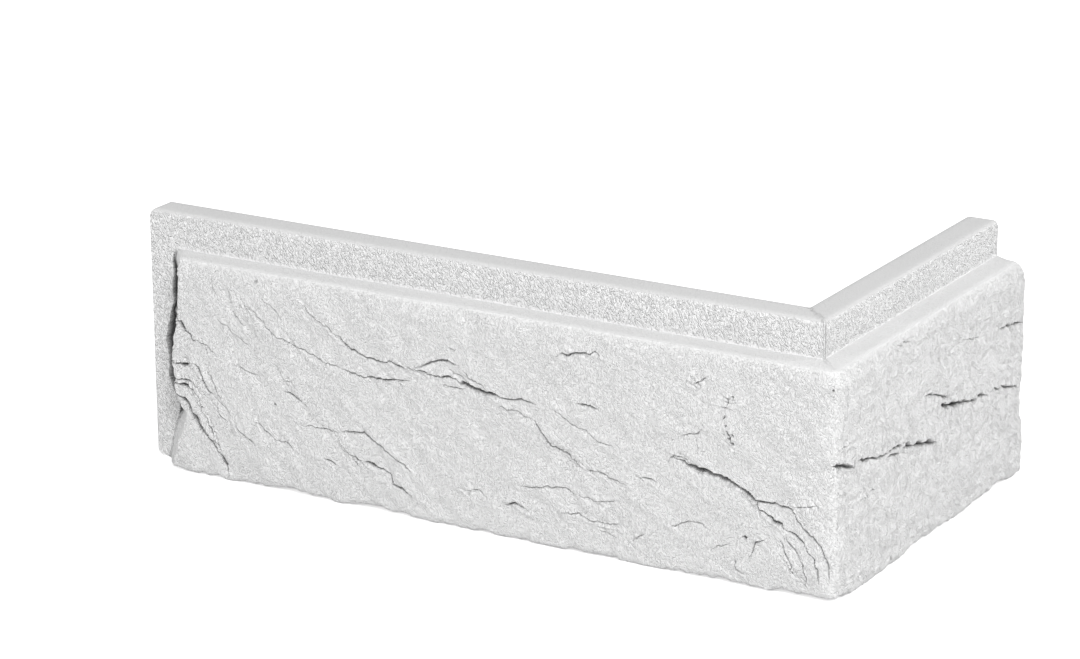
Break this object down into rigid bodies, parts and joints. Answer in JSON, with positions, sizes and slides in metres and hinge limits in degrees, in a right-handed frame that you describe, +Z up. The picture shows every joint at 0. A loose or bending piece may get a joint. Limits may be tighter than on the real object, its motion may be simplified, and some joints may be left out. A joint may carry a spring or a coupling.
{
  "type": "corner brick slip",
  "caption": "L-shaped cast concrete slip with a thin brick face round an outer wall corner on a flat backing plate that leaves a mortar joint strip.",
  "frame": {"origin": "centre of the bounding box in plan, on the foot plane", "axes": "+Z up the height of the brick, +X along the long leg towards the outer corner, +Y along the short leg away from the long face"},
  "size_m": [0.252, 0.1324, 0.0835],
  "materials": {
    "cast_concrete": "pale grey-white cast concrete, matt, fine pitted grain with clefts on the face, smoother on the back and top"
  },
  "bodies": {
    "root": {"corner_brick_slip": "cast_concrete"}
  },
  "joints": []
}
